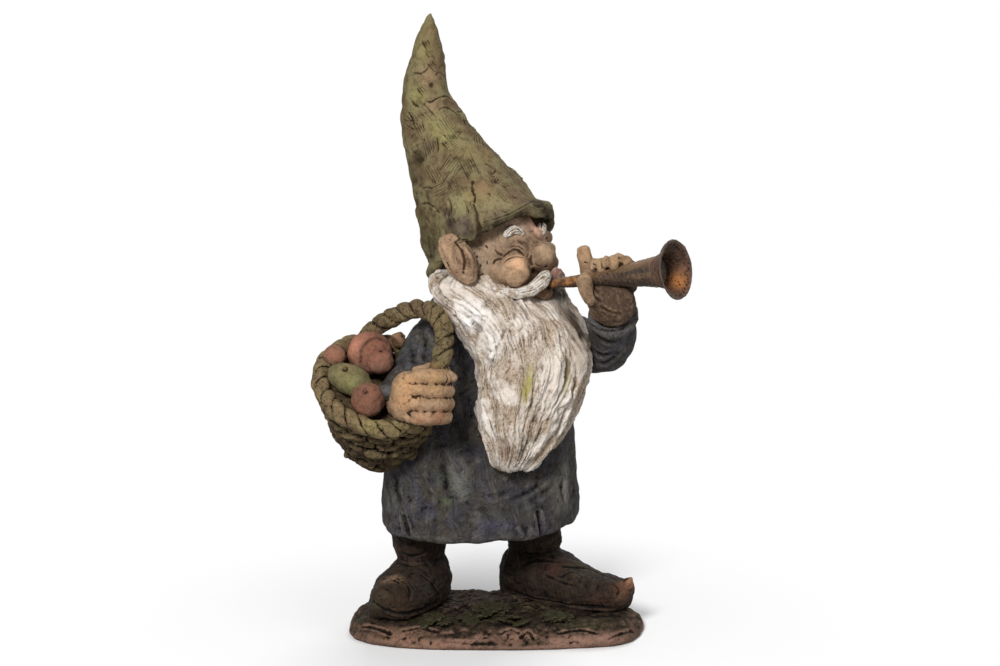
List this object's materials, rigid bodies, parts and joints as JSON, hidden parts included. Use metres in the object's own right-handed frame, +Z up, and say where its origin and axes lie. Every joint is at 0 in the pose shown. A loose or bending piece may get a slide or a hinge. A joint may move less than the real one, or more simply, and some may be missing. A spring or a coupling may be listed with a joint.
{
  "type": "garden gnome figurine",
  "caption": "Hand-built clay garden gnome in a tall olive hat, blowing a rust-brown horn and carrying a woven basket of fruit, on a low earth-coloured plinth.",
  "frame": {"origin": "centre of the plinth's flat underside", "axes": "+Z up out of the plinth; +X along the plinth's length, towards the side the horn points to; -Y to the front"},
  "size_m": [0.2485, 0.1649, 0.4175],
  "materials": {
    "plinth_earth": "matt fired clay, earth brown with a dark wash",
    "leaf_moss": "matt fired clay, dark green wash",
    "boot_leather": "matt fired clay, dark brown rubbed paler on the toes",
    "trouser": "matt fired clay, dark brown wash",
    "dowel_steel": "plain drawn rod",
    "tunic_cloth": "matt fired clay, slate grey with brush marks",
    "skin": "matt fired clay, tan with a brown wash in the creases",
    "hair_white": "matt fired clay, off white",
    "beard_hair": "matt fired clay, cream with a brown wash between the locks",
    "hat_felt": "matt fired clay, olive green with a woven impression",
    "wicker": "matt fired clay, olive brown with a dark wash",
    "apple": "matt fired clay, dull red",
    "pear": "matt fired clay, olive green",
    "plum": "matt fired clay, tan",
    "horn_metal": "dark rust brown, satin",
    "horn_mouth": "rust brown, orange inside"
  },
  "bodies": {
    "root": {"plinth": "plinth_earth", "leaf_clump_1": "leaf_moss", "leaf_clump_2": "leaf_moss", "leaf_clump_3": "leaf_moss", "leaf_clump_4": "leaf_moss", "leaf_clump_5": "leaf_moss", "right_boot": "boot_leather", "left_boot": "boot_leather", "right_leg": "trouser", "left_leg": "trouser", "right_leg_dowel": "dowel_steel", "left_leg_dowel": "dowel_steel", "tunic": "tunic_cloth", "right_sleeve": "tunic_cloth", "left_sleeve": "tunic_cloth", "right_cuff": "tunic_cloth", "left_cuff": "tunic_cloth", "head": "skin", "nose": "skin", "lower_lip": "skin", "right_cheek": "skin", "left_cheek": "skin", "right_eye": "skin", "left_eye": "skin", "right_ear": "skin", "left_ear": "skin", "right_hand": "skin", "left_hand": "skin", "right_eyebrow": "hair_white", "left_eyebrow": "hair_white", "right_moustache": "hair_white", "left_moustache": "hair_white", "beard": "beard_hair", "hat": "hat_felt", "hat_brim": "hat_felt", "basket_rim": "wicker", "basket_bowl": "wicker", "basket_handle": "wicker", "large_apple": "apple", "red_apple": "apple", "small_apple": "apple", "front_apple": "apple", "pear": "pear", "plum": "plum", "horn_tube": "horn_metal", "horn_bell": "horn_mouth"}
  },
  "joints": []
}
